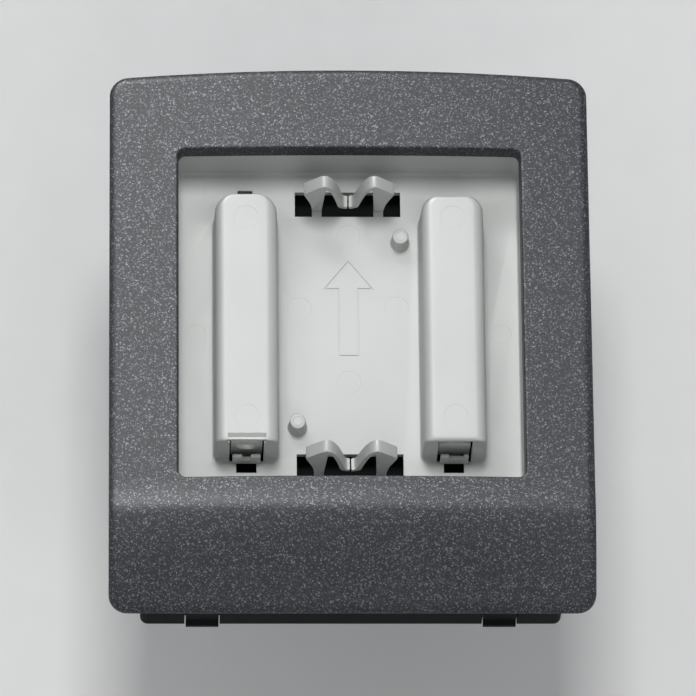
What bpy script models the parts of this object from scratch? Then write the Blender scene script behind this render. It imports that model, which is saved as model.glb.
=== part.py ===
"""Wall battery unit: a curved front frame round a light tray that holds two AA cells, hung on a black wall base.

The wall is the plane Y = 0 and the front faces -Y.  X runs to the right, Z up, and the origin lies on the wall
behind the centre of the square opening.  Sizes are in millimetres; "depth" is the distance from the wall, so a
point at depth D has Y = -D.
"""

import math

import bmesh
import bpy
from mathutils import Vector

MM = 0.001

# ---- overall sizes
FRAME_WIDTH = 125.3
FRAME_TOP = 66.0  # height of the frame's top edge at its corners
FRAME_BOTTOM = -79.3
TOP_BOW = 1.7  # how much higher the top edge is at its middle
FRONT_DEPTH = 25.6  # depth of the front surface at its left and right edges
BULGE = 2.4  # how much further out the front is at its middle
RIM_DROP = 8.6  # from the front surface back to the frame's rear rim
OPENING_WIDTH = 89.6
OPENING_HEIGHT = 90.7

# ---- frame
FRAME_WALL = 2.2
SKIRT_WALL = 2.0
FRAME_CORNER = 4.8
OPENING_CORNER = 2.0
OUTER_ROUND = 1.8  # rounding of the front's outer edge
LIP_ROUND = 0.5
LIP_DEPTH = 5.0
LIP_WALL = 1.8
LIP_DRAFT = 0.2
# The chin: (height, slope), where the slope is how fast the front comes out as one goes down.
CHIN = ((-46.0, 0.0), (-52.4, 0.20), (-54.8, -0.17), (FRAME_BOTTOM, -0.43))

# ---- general fits
GAP = 0.3  # between pieces that touch
SLIP = 0.6  # between pieces that pass each other

# ---- wall base
BASE_WIDTH = 109.1
BASE_TOP = 60.5
BASE_BOTTOM = -76.4
BASE_PLATE = 2.5
BASE_WALL = 2.0
BASE_CORNER = 2.0
BASE_DROP = 5.6  # from the front surface back to the base wall's front edge
WALL_HOLE_RADIUS = 2.3
WALL_HOLE_X = 35.0
WALL_HOLE_INSET = 13.0  # from the base's top and bottom edges

# ---- cells
CELL_DIAMETER = 14.5
CELL_LENGTH = 50.5
CELL_SPACE = 0.25  # round a cell
NUB_RADIUS = 2.7
NUB_HEIGHT = 1.2
SLEEVE_WALL = 0.25
CELL_X = 27.0

# ---- contacts
PLATE_THICK = 0.4
PLATE_WIDTH = 8.2
PLATE_SPACE = 0.5  # between a contact plate and the end wall behind it
BUTTON_RADIUS = 3.0
BUTTON_HEIGHT = 1.0
SPRING_LENGTH = 12.1
SPRING_WIRE = 0.7
SPRING_BASE_RADIUS = 3.3
SPRING_TIP_RADIUS = 2.5
SPRING_TURNS = 5
STRAP_WIDTH = 3.4
STRAP_THICK = 0.4

# ---- battery tray
FLOOR_THICK = 2.0
FLOOR_DEPTH = 9.4  # depth of the floor's front face
TRAY_WALL = 1.5
TRAY_SPACE = 0.1  # how far the tray's inside stands outside the opening
HUMP_WALL = 0.9
HUMP_ROOF = 1.25
HUMP_END_WALL = 1.4
HUMP_EDGE = 3.2  # rounding of a cell housing's long edges
WINDOW_WIDTH = 8.9
TONGUE_WIDTH = 7.3
TONGUE_HEIGHT = 4.7
TONGUE_THICK = 1.0
SPRING_PLATE_REACH = 7.1  # from the floor's front face
SLOT_WIDTH = 5.3
SLOT_LENGTH = 2.6
PEG_X = 13.65
PEG_Z = 25.75
PEG_RADIUS = 2.35
PEG_HEIGHT = 5.0
CLIP_HOLE_WIDTH = 27.8
CLIP_HOLE_HEIGHT = 6.9
CLIP_HOLE_INSET = 8.75  # from the opening's edge to the hole's middle

# ---- spring clips
CLIP_THICK = 3.2  # along Z
CLIP_SEAT = 1.35  # from the hole's lower edge up to the clip
CLIP_REACH = 17.9  # from the floor to the crest
ARM_INNER = 6.85
ARM_OUTER = 9.35
CREST_X = 6.3
BARB_X = 11.8
BARB_REACH = 12.2
BAND_THICK = 0.8  # at the crest
VALLEY_THICK = 1.4
VALLEY_REACH = 3.7
CLIP_SPLIT = 0.5  # between the halves of a clip

# ---- fixings
EAR_Z = 34.0
EAR_X = 49.6
EAR_THICK = 2.0
EAR_RADIUS = 2.2
EAR_DROP = 8.6  # from the front surface back to an ear's rear face
SCREW_RADIUS = 1.1
SCREW_HEAD_RADIUS = 2.0
SCREW_HEAD = 1.5
SCREW_LENGTH = 6.0
BOSS_RADIUS = 2.2

# ---- hooks and latches
HOOK_X = 34.0
HOOK_WIDTH = 8.0
HOOK_THICK = 1.5
HOOK_DEPTH = 13.5  # depth of the hook's middle, which is the tilt axis
HOOK_LEG = 2.0
LATCH_X = 38.5
LATCH_WIDTH = 8.5
LATCH_THICK = 1.5
LATCH_DROP = 10.4  # from the front surface back to the latch's front end
LATCH_LIP = 0.95  # how far the lip stands below the base

# ---- values that follow
FRAME_HALF = FRAME_WIDTH / 2
OPEN_HALF = (OPENING_WIDTH / 2, OPENING_HEIGHT / 2)
BASE_HALF = BASE_WIDTH / 2
FLOOR_REAR = FLOOR_DEPTH - FLOOR_THICK
CELL_RADIUS = CELL_DIAMETER / 2
BAY_RADIUS = CELL_RADIUS + CELL_SPACE
CELL_DEPTH = FLOOR_REAR + CELL_RADIUS
HUMP_TOP = CELL_DEPTH + BAY_RADIUS + HUMP_ROOF
HUMP_HALF = BAY_RADIUS + HUMP_WALL
BAY_LENGTH = CELL_LENGTH + SPRING_LENGTH + BUTTON_HEIGHT + 2 * (PLATE_SPACE + PLATE_THICK) + 2.5 * GAP
BAY_HALF = BAY_LENGTH / 2
HUMP_Z = BAY_HALF + HUMP_END_WALL
TRAY_HALF = (OPEN_HALF[0] + TRAY_SPACE, OPEN_HALF[1] + TRAY_SPACE)
PLATE_Z = BAY_HALF - PLATE_SPACE  # outer face of a contact plate
BUTTON_Z = PLATE_Z - PLATE_THICK - BUTTON_HEIGHT
SPRING_Z = PLATE_Z - PLATE_THICK - GAP
CELL_NUB_Z = BUTTON_Z - 0.5 * GAP
CELL_FLAT_Z = CELL_NUB_Z - CELL_LENGTH
RIM_DEPTH = FRONT_DEPTH - RIM_DROP
BASE_DEPTH = FRONT_DEPTH - BASE_DROP
EAR_DEPTH = FRONT_DEPTH - EAR_DROP
LATCH_FRONT = FRONT_DEPTH - LATCH_DROP
CLIP_HOLE_Z = OPEN_HALF[1] - CLIP_HOLE_INSET


# ---------------------------------------------------------------- scene and materials


def clear_scene():
    for item in list(bpy.data.objects):
        bpy.data.objects.remove(item)


def material(name, colour, roughness, metallic=0.0):
    """A plain Principled material, made once per name."""
    made = bpy.data.materials.get(name)
    if made is None:
        made = bpy.data.materials.new(name)
        made.use_nodes = True
        shader = made.node_tree.nodes["Principled BSDF"]
        shader.inputs["Base Color"].default_value = (*colour, 1.0)
        shader.inputs["Roughness"].default_value = roughness
        shader.inputs["Metallic"].default_value = metallic
        made.diffuse_color = (*colour, 1.0)
    return made


def frame_paint():
    return material("frame_paint", (0.115, 0.125, 0.140), 0.45)


def tray_plastic():
    return material("tray_plastic", (0.62, 0.64, 0.61), 0.35)


def base_plastic():
    return material("base_plastic", (0.018, 0.019, 0.021), 0.55)


def contact_metal():
    return material("contact_metal", (0.70, 0.69, 0.66), 0.28, 1.0)


def screw_metal():
    return material("screw_metal", (0.45, 0.45, 0.46), 0.35, 1.0)


def cell_label():
    return material("cell_label", (0.10, 0.22, 0.17), 0.30)


def cell_metal():
    return material("cell_metal", (0.72, 0.72, 0.72), 0.25, 1.0)


def seal_plastic():
    return material("seal_plastic", (0.30, 0.30, 0.29), 0.5)


# ---------------------------------------------------------------- mesh helpers


def place(x, depth, z):
    """A point in metres from x, depth and height in millimetres."""
    return Vector((x * MM, -depth * MM, z * MM))


def finish_mesh(name, mesh_data, finish, smooth_angle=35.0):
    """Turns a bmesh into a linked object with outward normals and its material."""
    bmesh.ops.recalc_face_normals(mesh_data, faces=mesh_data.faces[:])
    mesh = bpy.data.meshes.new(name)
    mesh_data.to_mesh(mesh)
    mesh_data.free()
    mesh.shade_smooth()
    mesh.set_sharp_from_angle(angle=math.radians(smooth_angle))
    mesh.materials.append(finish)
    made = bpy.data.objects.new(name, mesh)
    bpy.context.scene.collection.objects.link(made)
    return made


def box(name, x_range, depth_range, z_range, finish):
    data = bmesh.new()
    bmesh.ops.create_cube(data, size=1.0)
    middle = place(sum(x_range) / 2, sum(depth_range) / 2, sum(z_range) / 2)
    spans = [abs(pair[1] - pair[0]) * MM for pair in (x_range, depth_range, z_range)]
    bmesh.ops.scale(data, vec=spans, verts=data.verts)
    bmesh.ops.translate(data, vec=middle, verts=data.verts)
    return finish_mesh(name, data, finish)


def turned(name, profile, start, direction, finish, steps=32):
    """A closed solid of revolution: profile is (radius, distance along direction) from start, both ends on the axis."""
    data = bmesh.new()
    axis = Vector(direction).normalized()
    side = axis.orthogonal().normalized()
    points = [start + side * (radius * MM) + axis * (along * MM) for radius, along in profile]
    verts = [data.verts.new(point) for point in points]
    edges = [data.edges.new(pair) for pair in zip(verts, verts[1:])]
    bmesh.ops.spin(
        data, geom=verts + edges, cent=start, axis=axis, angle=math.tau, steps=steps, use_merge=True
    )
    bmesh.ops.remove_doubles(data, verts=data.verts, dist=0.00001)
    return finish_mesh(name, data, finish)


def tube(name, outer, inner, start, direction, length, finish, steps=32):
    """A round tube along direction from start."""
    data = bmesh.new()
    axis = Vector(direction).normalized()
    side = axis.orthogonal().normalized()
    corners = ((outer, 0.0), (outer, length), (inner, length), (inner, 0.0))
    verts = [data.verts.new(start + side * (radius * MM) + axis * (along * MM)) for radius, along in corners]
    edges = [data.edges.new((verts[i], verts[(i + 1) % 4])) for i in range(4)]
    bmesh.ops.spin(
        data, geom=verts + edges, cent=start, axis=axis, angle=math.tau, steps=steps, use_merge=True
    )
    bmesh.ops.remove_doubles(data, verts=data.verts, dist=0.00001)
    return finish_mesh(name, data, finish)


def slab(name, outline_points, z_range, finish):
    """A flat outline of (x, depth) points, extruded along Z."""
    data = bmesh.new()
    low = [data.verts.new(place(x, depth, z_range[0])) for x, depth in outline_points]
    high = [data.verts.new(place(x, depth, z_range[1])) for x, depth in outline_points]
    data.faces.new(low)
    data.faces.new(high)
    count = len(outline_points)
    for i in range(count):
        after = (i + 1) % count
        data.faces.new((low[i], low[after], high[after], high[i]))
    return finish_mesh(name, data, finish)


def prism(name, x_range, section, finish):
    """A section of (depth, height) points, extruded along X."""
    data = bmesh.new()
    ends = [[data.verts.new(place(x, depth, z)) for depth, z in section] for x in x_range]
    for end in ends:
        data.faces.new(end)
    for i in range(len(section)):
        after = (i + 1) % len(section)
        data.faces.new((ends[0][i], ends[0][after], ends[1][after], ends[1][i]))
    return finish_mesh(name, data, finish)


def group(name, items):
    """Puts several solids that don't touch each other into one helper mesh."""
    data = bmesh.new()
    for item in items:
        data.from_mesh(item.data)
    finish = items[0].data.materials[0]
    for item in items:
        bpy.data.objects.remove(item)
    return finish_mesh(name, data, finish)


def bridge(data, loops, wrap):
    """Quads between loops of equal length; wrap joins the last loop to the first."""
    rows = [[data.verts.new(point) for point in loop] for loop in loops]
    count = len(rows[0])
    pairs = list(zip(rows, rows[1:])) + ([(rows[-1], rows[0])] if wrap else [])
    for first, second in pairs:
        for i in range(count):
            after = (i + 1) % count
            data.faces.new((first[i], first[after], second[after], second[i]))
    return rows


def ring_solid(name, loops, finish):
    """A closed ring: the loops run once round its section."""
    data = bmesh.new()
    bridge(data, loops, wrap=True)
    return finish_mesh(name, data, finish)


def capped_solid(name, loops, finish):
    """A closed solid: the loops run from one flat end to the other."""
    data = bmesh.new()
    rows = bridge(data, loops, wrap=False)
    data.faces.new(rows[0])
    data.faces.new(rows[-1])
    return finish_mesh(name, data, finish)


def boolean(target, other, operation):
    """Adds a Boolean modifier, and hides the other object as a helper."""
    step = target.modifiers.new(operation.lower() + "_" + other.name, "BOOLEAN")
    step.operation = operation
    step.solver = "EXACT"
    step.object = other
    other.hide_render = True
    other.display_type = "WIRE"


def cut(target, *cutters):
    for cutter in cutters:
        boolean(target, cutter, "DIFFERENCE")


def join(target, *additions):
    for addition in additions:
        boolean(target, addition, "UNION")


# ---------------------------------------------------------------- outlines


def outline(half_width, low, high, low_radius, high_radius, bow=0.0, corner_steps=5, side_steps=12, middle=0.0):
    """Points (x, z) round a rounded rectangle, anticlockwise from its lower right corner."""
    corners = (
        (half_width - low_radius, low + low_radius, low_radius, -90),
        (half_width - high_radius, high - high_radius, high_radius, 0),
        (-half_width + high_radius, high - high_radius, high_radius, 90),
        (-half_width + low_radius, low + low_radius, low_radius, 180),
    )
    points = []
    for number, (centre_x, centre_z, radius, start) in enumerate(corners):
        for step in range(corner_steps + 1):
            angle = math.radians(start + 90 * step / corner_steps)
            points.append((centre_x + radius * math.cos(angle), centre_z + radius * math.sin(angle)))
        next_x, next_z, next_radius, next_start = corners[(number + 1) % 4]
        angle = math.radians(next_start)
        ahead = (next_x + next_radius * math.cos(angle), next_z + next_radius * math.sin(angle))
        here = points[-1]
        for step in range(1, side_steps):
            share = step / side_steps
            points.append((here[0] + (ahead[0] - here[0]) * share, here[1] + (ahead[1] - here[1]) * share))
    span = high - low
    bowed = []
    for x, z in points:
        lift = bow * (1 - (x / half_width) ** 2) * max(0.0, (z - low) / span) ** 8
        bowed.append((middle + x, z + lift))
    return bowed


def opening_outline(grow, radius):
    """The opening's outline, grown by grow."""
    half_x, half_z = OPEN_HALF[0] + grow, OPEN_HALF[1] + grow
    return outline(half_x, -half_z, half_z, radius, radius)


def frame_outline(shrink):
    """The frame's outer outline, shrunk by shrink."""
    radius = max(FRAME_CORNER - shrink, 0.8)
    return outline(
        FRAME_HALF - shrink, FRAME_BOTTOM + shrink, FRAME_TOP - shrink, radius, radius, bow=TOP_BOW
    )


def between(first, second, share):
    return [(a[0] + (b[0] - a[0]) * share, a[1] + (b[1] - a[1]) * share) for a, b in zip(first, second)]


def chin_depth(z):
    """How far the chin's profile moves the front at height z."""
    depth = 0.0
    for (high, slope_high), (low, slope_low) in zip(CHIN, CHIN[1:]):
        reached = min(max(high - z, 0.0), high - low)
        slope = slope_high + (slope_low - slope_high) * reached / (high - low)
        depth += reached * (slope_high + slope) / 2
    return depth


def front_depth(x, z):
    """Depth of the frame's front surface."""
    crease = CHIN[1][0]
    share = min(max((crease - z) / (crease - FRAME_BOTTOM), 0.0), 1.0)
    fade = 1 - share * share * (3 - 2 * share)
    across = max(0.0, 1 - (x / FRAME_HALF) ** 2)
    return FRONT_DEPTH + BULGE * across * fade + chin_depth(z)


def raised(points, drop):
    """The outline on the front surface, drop behind it."""
    return [place(x, front_depth(x, z) - drop, z) for x, z in points]


def level(points, depth):
    return [place(x, depth, z) for x, z in points]


# ---------------------------------------------------------------- front frame


def make_frame():
    """The curved front frame: lip, front, outer edge, skirt, and back round the inside to the lip."""
    front_rows = 14
    outer_arc = (0.0, 30.0, 60.0, 90.0)
    inner_edge = opening_outline(LIP_ROUND, OPENING_CORNER + LIP_ROUND)
    outer_edge = frame_outline(OUTER_ROUND)
    loops = [
        raised(opening_outline(-LIP_DRAFT, OPENING_CORNER - LIP_DRAFT), LIP_DEPTH),
        raised(opening_outline(0.0, OPENING_CORNER), LIP_ROUND),
    ]
    for row in range(front_rows + 1):
        loops.append(raised(between(inner_edge, outer_edge, row / front_rows), 0.0))
    for angle in outer_arc[1:]:
        turn = math.radians(angle)
        loops.append(
            raised(frame_outline(OUTER_ROUND * (1 - math.sin(turn))), 0.75 * OUTER_ROUND * (1 - math.cos(turn)))
        )
    loops.append(level(frame_outline(0.0), RIM_DEPTH))
    loops.append(level(frame_outline(SKIRT_WALL), RIM_DEPTH))
    lip_outer = opening_outline(LIP_WALL, OPENING_CORNER + LIP_WALL)
    inside_edge = frame_outline(SKIRT_WALL)
    for row in range(front_rows + 1):
        loops.append(raised(between(inside_edge, lip_outer, row / front_rows), FRAME_WALL))
    loops.append(raised(lip_outer, LIP_DEPTH))
    frame = ring_solid("front_frame", loops, frame_paint())

    additions = []
    bores = []
    for side in (-1, 1):
        rib_x = (side * (BASE_HALF + SLIP), side * (BASE_HALF + SLIP + HOOK_THICK))
        for z in (-20.0, 20.0):
            rib_name = "rib_%d_%d" % (side, z)
            rib_root = front_depth(rib_x[1], z) - FRAME_WALL / 2
            additions.append(box(rib_name, rib_x, (RIM_DEPTH + GAP, rib_root), (z - 6, z + 6), frame_paint()))
        hook_x = (side * HOOK_X - HOOK_WIDTH / 2, side * HOOK_X + HOOK_WIDTH / 2)
        low = BASE_TOP + SLIP
        high = low + HOOK_THICK
        toe = BASE_TOP - BASE_WALL - 1.5
        root = front_depth(HOOK_X, low) - FRAME_WALL / 2
        rear = HOOK_DEPTH - HOOK_LEG / 2
        front = HOOK_DEPTH + HOOK_LEG / 2
        hook_section = (
            (rear, toe), (front, toe), (front, low), (root, low), (root, high), (rear, high)
        )
        additions.append(prism("hook_%d" % side, hook_x, hook_section, frame_paint()))
        tongue_low = BASE_BOTTOM + BASE_WALL + GAP + 0.1
        tongue_high = tongue_low + TONGUE_THICK
        tongue_rear = LATCH_FRONT - 4.0
        tongue_root = front_depth(FRAME_HALF, tongue_low) - FRAME_WALL / 2
        tongue_section = (
            (tongue_rear, tongue_low),
            (tongue_root, tongue_low),
            (tongue_root, tongue_high),
            (tongue_rear + 0.4, tongue_high),
        )
        tongue_x = (side * LATCH_X - LATCH_WIDTH / 2 + 1.0, side * LATCH_X + LATCH_WIDTH / 2 - 1.0)
        additions.append(prism("catch_tongue_%d" % side, tongue_x, tongue_section, frame_paint()))
        for z in (-EAR_Z, EAR_Z):
            boss_root = front_depth(EAR_X, z) - FRAME_WALL / 2
            start = place(side * EAR_X, boss_root, z)
            height = boss_root - EAR_DEPTH - EAR_THICK - GAP
            boss = ((0.0, 0.0), (BOSS_RADIUS, 0.0), (BOSS_RADIUS, height), (0.0, height))
            boss_name = "boss_%d_%d" % (side, z)
            additions.append(turned(boss_name, boss, start, (0, 1, 0), frame_paint(), steps=16))
            reach = SCREW_LENGTH - EAR_THICK
            bore = ((0.0, -1.0), (SCREW_RADIUS + GAP, -1.0), (SCREW_RADIUS + GAP, reach), (0.0, reach))
            start = place(side * EAR_X, EAR_DEPTH + EAR_THICK + GAP, z)
            bores.append(turned("boss_bore_%d_%d" % (side, z), bore, start, (0, -1, 0), frame_paint(), steps=12))
    join(frame, group("frame_fittings", additions))
    cut(frame, group("frame_bores", bores))
    return frame


# ---------------------------------------------------------------- battery tray


def hump_outline(half, low, high, high_radius, low_radius, x):
    return outline(
        half, low, high, low_radius, high_radius, corner_steps=4, side_steps=2, middle=x
    )


def hump_body(x, name):
    """A cell housing: its long edges are rounded and its upper corners are round in plan."""
    height = HUMP_TOP - FLOOR_DEPTH
    straight = height - HUMP_EDGE
    levels = [(-FLOOR_THICK / 2, 0.0), (straight, 0.35)]
    for angle in (25, 50, 70, 90):
        turn = math.radians(angle)
        levels.append((straight + HUMP_EDGE * math.sin(turn), 0.35 + (HUMP_EDGE - 0.35) * (1 - math.cos(turn))))
    loops = []
    for rise, inset in levels:
        draft = 0.2 * max(rise, 0.0) / height
        points = hump_outline(
            HUMP_HALF - inset, -HUMP_Z + draft, HUMP_Z - draft, max(4.6 - inset, 1.2), 0.8, x
        )
        loops.append(level(points, FLOOR_DEPTH + rise))
    return capped_solid(name, loops, tray_plastic())


def bay_cutter(x, name):
    """The space for a cell, open to the rear: a half-round roof over straight sides."""
    steps = 12
    rear = FLOOR_REAR - 1.0
    section = [(x + BAY_RADIUS, rear)]
    for step in range(steps + 1):
        angle = math.pi * step / steps
        section.append((x + BAY_RADIUS * math.cos(angle), CELL_DEPTH + BAY_RADIUS * math.sin(angle)))
    section.append((x - BAY_RADIUS, rear))
    return slab(name, section, (-BAY_HALF, BAY_HALF), tray_plastic())


def plate_pocket(x, top, name):
    """Room for a contact plate's square corners above the round bay."""
    side = 1 if top else -1
    z_range = sorted((side * (BAY_HALF - 1e-3), side * (PLATE_Z - PLATE_THICK - GAP)))
    return box(
        name,
        (x - PLATE_WIDTH / 2 - GAP, x + PLATE_WIDTH / 2 + GAP),
        (FLOOR_REAR - 1.0, HUMP_TOP - HUMP_ROOF + 0.15),
        z_range,
        tray_plastic(),
    )


def make_peg(x, z, name):
    return turned(
        name,
        (
            (0.0, -1.0),
            (PEG_RADIUS, -1.0),
            (PEG_RADIUS, 0.0),
            (PEG_RADIUS - 0.2, PEG_HEIGHT - 0.5),
            (PEG_RADIUS - 0.7, PEG_HEIGHT),
            (0.0, PEG_HEIGHT),
        ),
        place(x, FLOOR_DEPTH, z),
        (0, -1, 0),
        tray_plastic(),
        steps=20,
    )


def tray_tub():
    """Floor and walls; the rim follows the back of the frame's lip."""
    inside = outline(TRAY_HALF[0], -TRAY_HALF[1], TRAY_HALF[1], 1.6, 1.6)
    outer_x, outer_z = TRAY_HALF[0] + TRAY_WALL, TRAY_HALF[1] + TRAY_WALL
    outside = outline(outer_x, -outer_z, outer_z, 3.1, 3.1)
    rim = LIP_DEPTH + GAP
    return capped_solid(
        "battery_tray",
        [level(inside, FLOOR_DEPTH), raised(inside, rim), raised(outside, rim), level(outside, FLOOR_REAR)],
        tray_plastic(),
    )


def make_ear(side, z):
    """An ear on the tray's outer wall, half-round at its free end."""
    root_x = TRAY_HALF[0] + TRAY_WALL / 2
    points = [(side * root_x, z - EAR_RADIUS)]
    for step in range(9):
        angle = math.radians(-90 + 22.5 * step)
        points.append((side * (EAR_X + EAR_RADIUS * math.cos(angle)), z + EAR_RADIUS * math.sin(angle)))
    points.append((side * root_x, z + EAR_RADIUS))
    loops = [level(points, EAR_DEPTH), level(points, EAR_DEPTH + EAR_THICK)]
    return capped_solid("ear_%d_%d" % (side, z), loops, tray_plastic())


def make_tray():
    """The light tray: floor, walls, two cell housings, pegs, clip roots, contact windows and ears."""
    tray = tray_tub()
    plastic = tray_plastic()
    through = (FLOOR_REAR - 1.0, FLOOR_DEPTH + 1.0)
    tongue_outer = -HUMP_Z - 1.2
    humps, bays, pockets, windows, gaps, slots, tongues = [], [], [], [], [], [], []
    for side, hand in ((-1, "left"), (1, "right")):
        x = side * CELL_X
        humps.append(hump_body(x, "hump_" + hand))
        bays.append(bay_cutter(x, "bay_" + hand))
        for top in (False, True):
            pockets.append(plate_pocket(x, top, "pocket_%s_%d" % (hand, top)))
        window_top = HUMP_TOP - 1.1 if side > 0 else HUMP_TOP - 1.8
        half = WINDOW_WIDTH / 2
        end_z = (-HUMP_Z - 1.0, -BAY_HALF + 0.5)
        windows.append(box("window_" + hand, (x - half, x + half), (FLOOR_DEPTH - GAP, window_top), end_z, plastic))
        gap_z = (tongue_outer + 0.7, -BAY_HALF + 0.6)
        gap_x = (x - half + 0.01, x + half - 0.01)
        gaps.append(box("window_gap_" + hand, gap_x, through, gap_z, plastic))
        half = SLOT_WIDTH / 2
        slot_z = (tongue_outer - SLOT_LENGTH, tongue_outer + 0.9)
        slots.append(box("contact_slot_" + hand, (x - half, x + half), through, slot_z, plastic))
        half = TONGUE_WIDTH / 2
        tongue_depth = (FLOOR_DEPTH - 0.5, FLOOR_DEPTH + TONGUE_HEIGHT)
        tongue_z = (tongue_outer, tongue_outer + TONGUE_THICK)
        tongues.append(box("tongue_" + hand, (x - half, x + half), tongue_depth, tongue_z, plastic))
    join(tray, group("humps", humps))
    cut(tray, group("bays", bays), group("pockets", pockets), group("windows", windows))
    cut(tray, group("window_gaps", gaps), group("contact_slots", slots))
    join(tray, group("tongues", tongues))

    end = -HUMP_Z
    step_section = (
        (HUMP_TOP + 1.0, end - 1.0),
        (HUMP_TOP + 1.0, end + 2.28),
        (HUMP_TOP, end + 2.28),
        (HUMP_TOP - 0.8, end + 1.36),
        (HUMP_TOP - 0.8, end + 0.75),
        (HUMP_TOP - 1.9, end + 0.75),
        (HUMP_TOP - 1.9, end - 1.0),
    )
    left_step = prism("roof_step_left", (-CELL_X - 4.95, -CELL_X + 4.95), step_section, plastic)
    notches = []
    tongue_top = FLOOR_DEPTH + TONGUE_HEIGHT
    sizes = (("left", -CELL_X - 1.15, -CELL_X + 1.15, 2.2), ("right", CELL_X - 1.55, CELL_X + 2.45, 1.6))
    for name, low, high, drop in sizes:
        notch_depth = (tongue_top - drop, tongue_top + 1.0)
        notches.append(box("tongue_notch_" + name, (low, high), notch_depth, (end - 2.0, end - 0.1), plastic))
    right_step = box(
        "roof_step_right",
        (CELL_X - 4.6, CELL_X + 4.6),
        (HUMP_TOP - 2.4, HUMP_TOP + 1.0),
        (HUMP_Z - 1.05, HUMP_Z + 1.0),
        plastic,
    )
    upper_slot = box(
        "contact_slot_upper_left",
        (-CELL_X - 2.0, -CELL_X + 2.0),
        through,
        (HUMP_Z + 2.8, HUMP_Z + 6.0),
        plastic,
    )
    small_cuts = [left_step, right_step, upper_slot] + notches
    roots = []
    for side in (-1, 1):
        middle = side * CLIP_HOLE_Z
        low = middle - CLIP_HOLE_HEIGHT / 2
        hole_x = (-CLIP_HOLE_WIDTH / 2, CLIP_HOLE_WIDTH / 2)
        hole_z = (low, middle + CLIP_HOLE_HEIGHT / 2)
        small_cuts.append(box("clip_hole_%d" % side, hole_x, through, hole_z, plastic))
        root_depth = (FLOOR_REAR + 0.05, FLOOR_DEPTH - 0.05)
        root_z = (low - 0.5, low + CLIP_SEAT + CLIP_THICK)
        for hand in (-1, 1):
            root_x = (hand * ARM_INNER, hand * ARM_OUTER)
            roots.append(box("clip_root_%d_%d" % (side, hand), root_x, root_depth, root_z, plastic))
    cut(tray, group("small_cuts", small_cuts))

    ears = []
    holes = []
    ear_hole = (
        (0.0, -1.0), (SCREW_RADIUS + GAP, -1.0), (SCREW_RADIUS + GAP, EAR_THICK + 1.0), (0.0, EAR_THICK + 1.0)
    )
    for side in (-1, 1):
        for z in (-EAR_Z, EAR_Z):
            ears.append(make_ear(side, z))
            start = place(side * EAR_X, EAR_DEPTH, z)
            holes.append(turned("ear_hole_%d_%d" % (side, z), ear_hole, start, (0, -1, 0), plastic, steps=12))
    pegs = [make_peg(side * PEG_X, side * PEG_Z, "peg_%d" % side) for side in (-1, 1)]
    join(tray, group("tray_fittings", roots + ears + pegs))
    cut(tray, group("ear_holes", holes))
    return tray


def make_screws():
    """Four pan-head screws that hold the tray's ears to the frame's bosses."""
    for side, hand in ((-1, "left"), (1, "right")):
        for z, place_name in ((-EAR_Z, "lower"), (EAR_Z, "upper")):
            name = "tray_screw_%s_%s" % (place_name, hand)
            screw = turned(
                name,
                (
                    (0.0, 0.0),
                    (SCREW_HEAD_RADIUS - 0.6, 0.0),
                    (SCREW_HEAD_RADIUS, 0.6),
                    (SCREW_HEAD_RADIUS, SCREW_HEAD),
                    (SCREW_RADIUS, SCREW_HEAD),
                    (SCREW_RADIUS, SCREW_HEAD + SCREW_LENGTH - 0.8),
                    (0.0, SCREW_HEAD + SCREW_LENGTH),
                ),
                place(side * EAR_X, EAR_DEPTH - GAP - SCREW_HEAD, z),
                (0, -1, 0),
                screw_metal(),
                steps=16,
            )
            for turn, blade in ((0, "a"), (1, "b")):
                spans = (1.3, 0.25) if turn else (0.25, 1.3)
                slot = box(
                    "driver_%s_%s" % (blade, name),
                    (side * EAR_X - spans[0], side * EAR_X + spans[0]),
                    (EAR_DEPTH - GAP - SCREW_HEAD - 1.0, EAR_DEPTH - GAP - SCREW_HEAD + 0.8 + 0.01 * turn),
                    (z - spans[1], z + spans[1]),
                    screw_metal(),
                )
                cut(screw, slot)


# ---------------------------------------------------------------- spring clips


def band_front():
    """Front of the band from crest to valley: (x, depth), the x shares taken from the crest's x."""
    crest = FLOOR_DEPTH + CLIP_REACH
    fall = CLIP_REACH - VALLEY_REACH
    shape = (
        (0.98, 0.01), (0.86, 0.05), (0.74, 0.13), (0.62, 0.25), (0.51, 0.41), (0.40, 0.60), (0.30, 0.80),
        (0.23, 0.94), (0.15, 1.0),
    )
    points = [(CREST_X * share, crest - fall * drop) for share, drop in shape]
    return points + [(CLIP_SPLIT / 2, crest - fall)]


def clip_section(hand):
    """Section (x, depth) of half a clip: root, barb, crest and the band down to the middle of the valley."""
    root = FLOOR_DEPTH + GAP
    crest = FLOOR_DEPTH + CLIP_REACH
    barb = FLOOR_DEPTH + BARB_REACH
    outside = [
        (ARM_INNER, root),
        (ARM_OUTER, root),
        (ARM_OUTER + 0.15, FLOOR_DEPTH + 0.18 * BARB_REACH),
        (ARM_OUTER + 0.55, FLOOR_DEPTH + 0.44 * BARB_REACH),
        (ARM_OUTER + 1.45, FLOOR_DEPTH + 0.72 * BARB_REACH),
        (BARB_X - 0.2, barb - 0.5),
        (BARB_X, barb),
        (BARB_X - 0.3, barb + 0.7),
        (CREST_X + 1.6, crest - 1.0),
        (CREST_X + 0.8, crest - 0.3),
    ]
    front = band_front()
    last = len(front) - 1
    rear = []
    for number in range(3, last):
        x, depth = front[number]
        before, after = front[number - 1], front[number + 1]
        along = Vector((after[0] - before[0], after[1] - before[1])).normalized()
        thick = BAND_THICK + (VALLEY_THICK - BAND_THICK) * number / last
        rear.append((x - along.y * thick, depth + along.x * thick))
    rear.append((CLIP_SPLIT / 2, front[-1][1] - VALLEY_THICK))
    fork = [(CREST_X - 0.5, crest - 2.4), (CREST_X - 0.1, crest - 3.4)]
    points = outside + front + rear[::-1] + fork
    return [(hand * x, depth) for x, depth in points]


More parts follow.
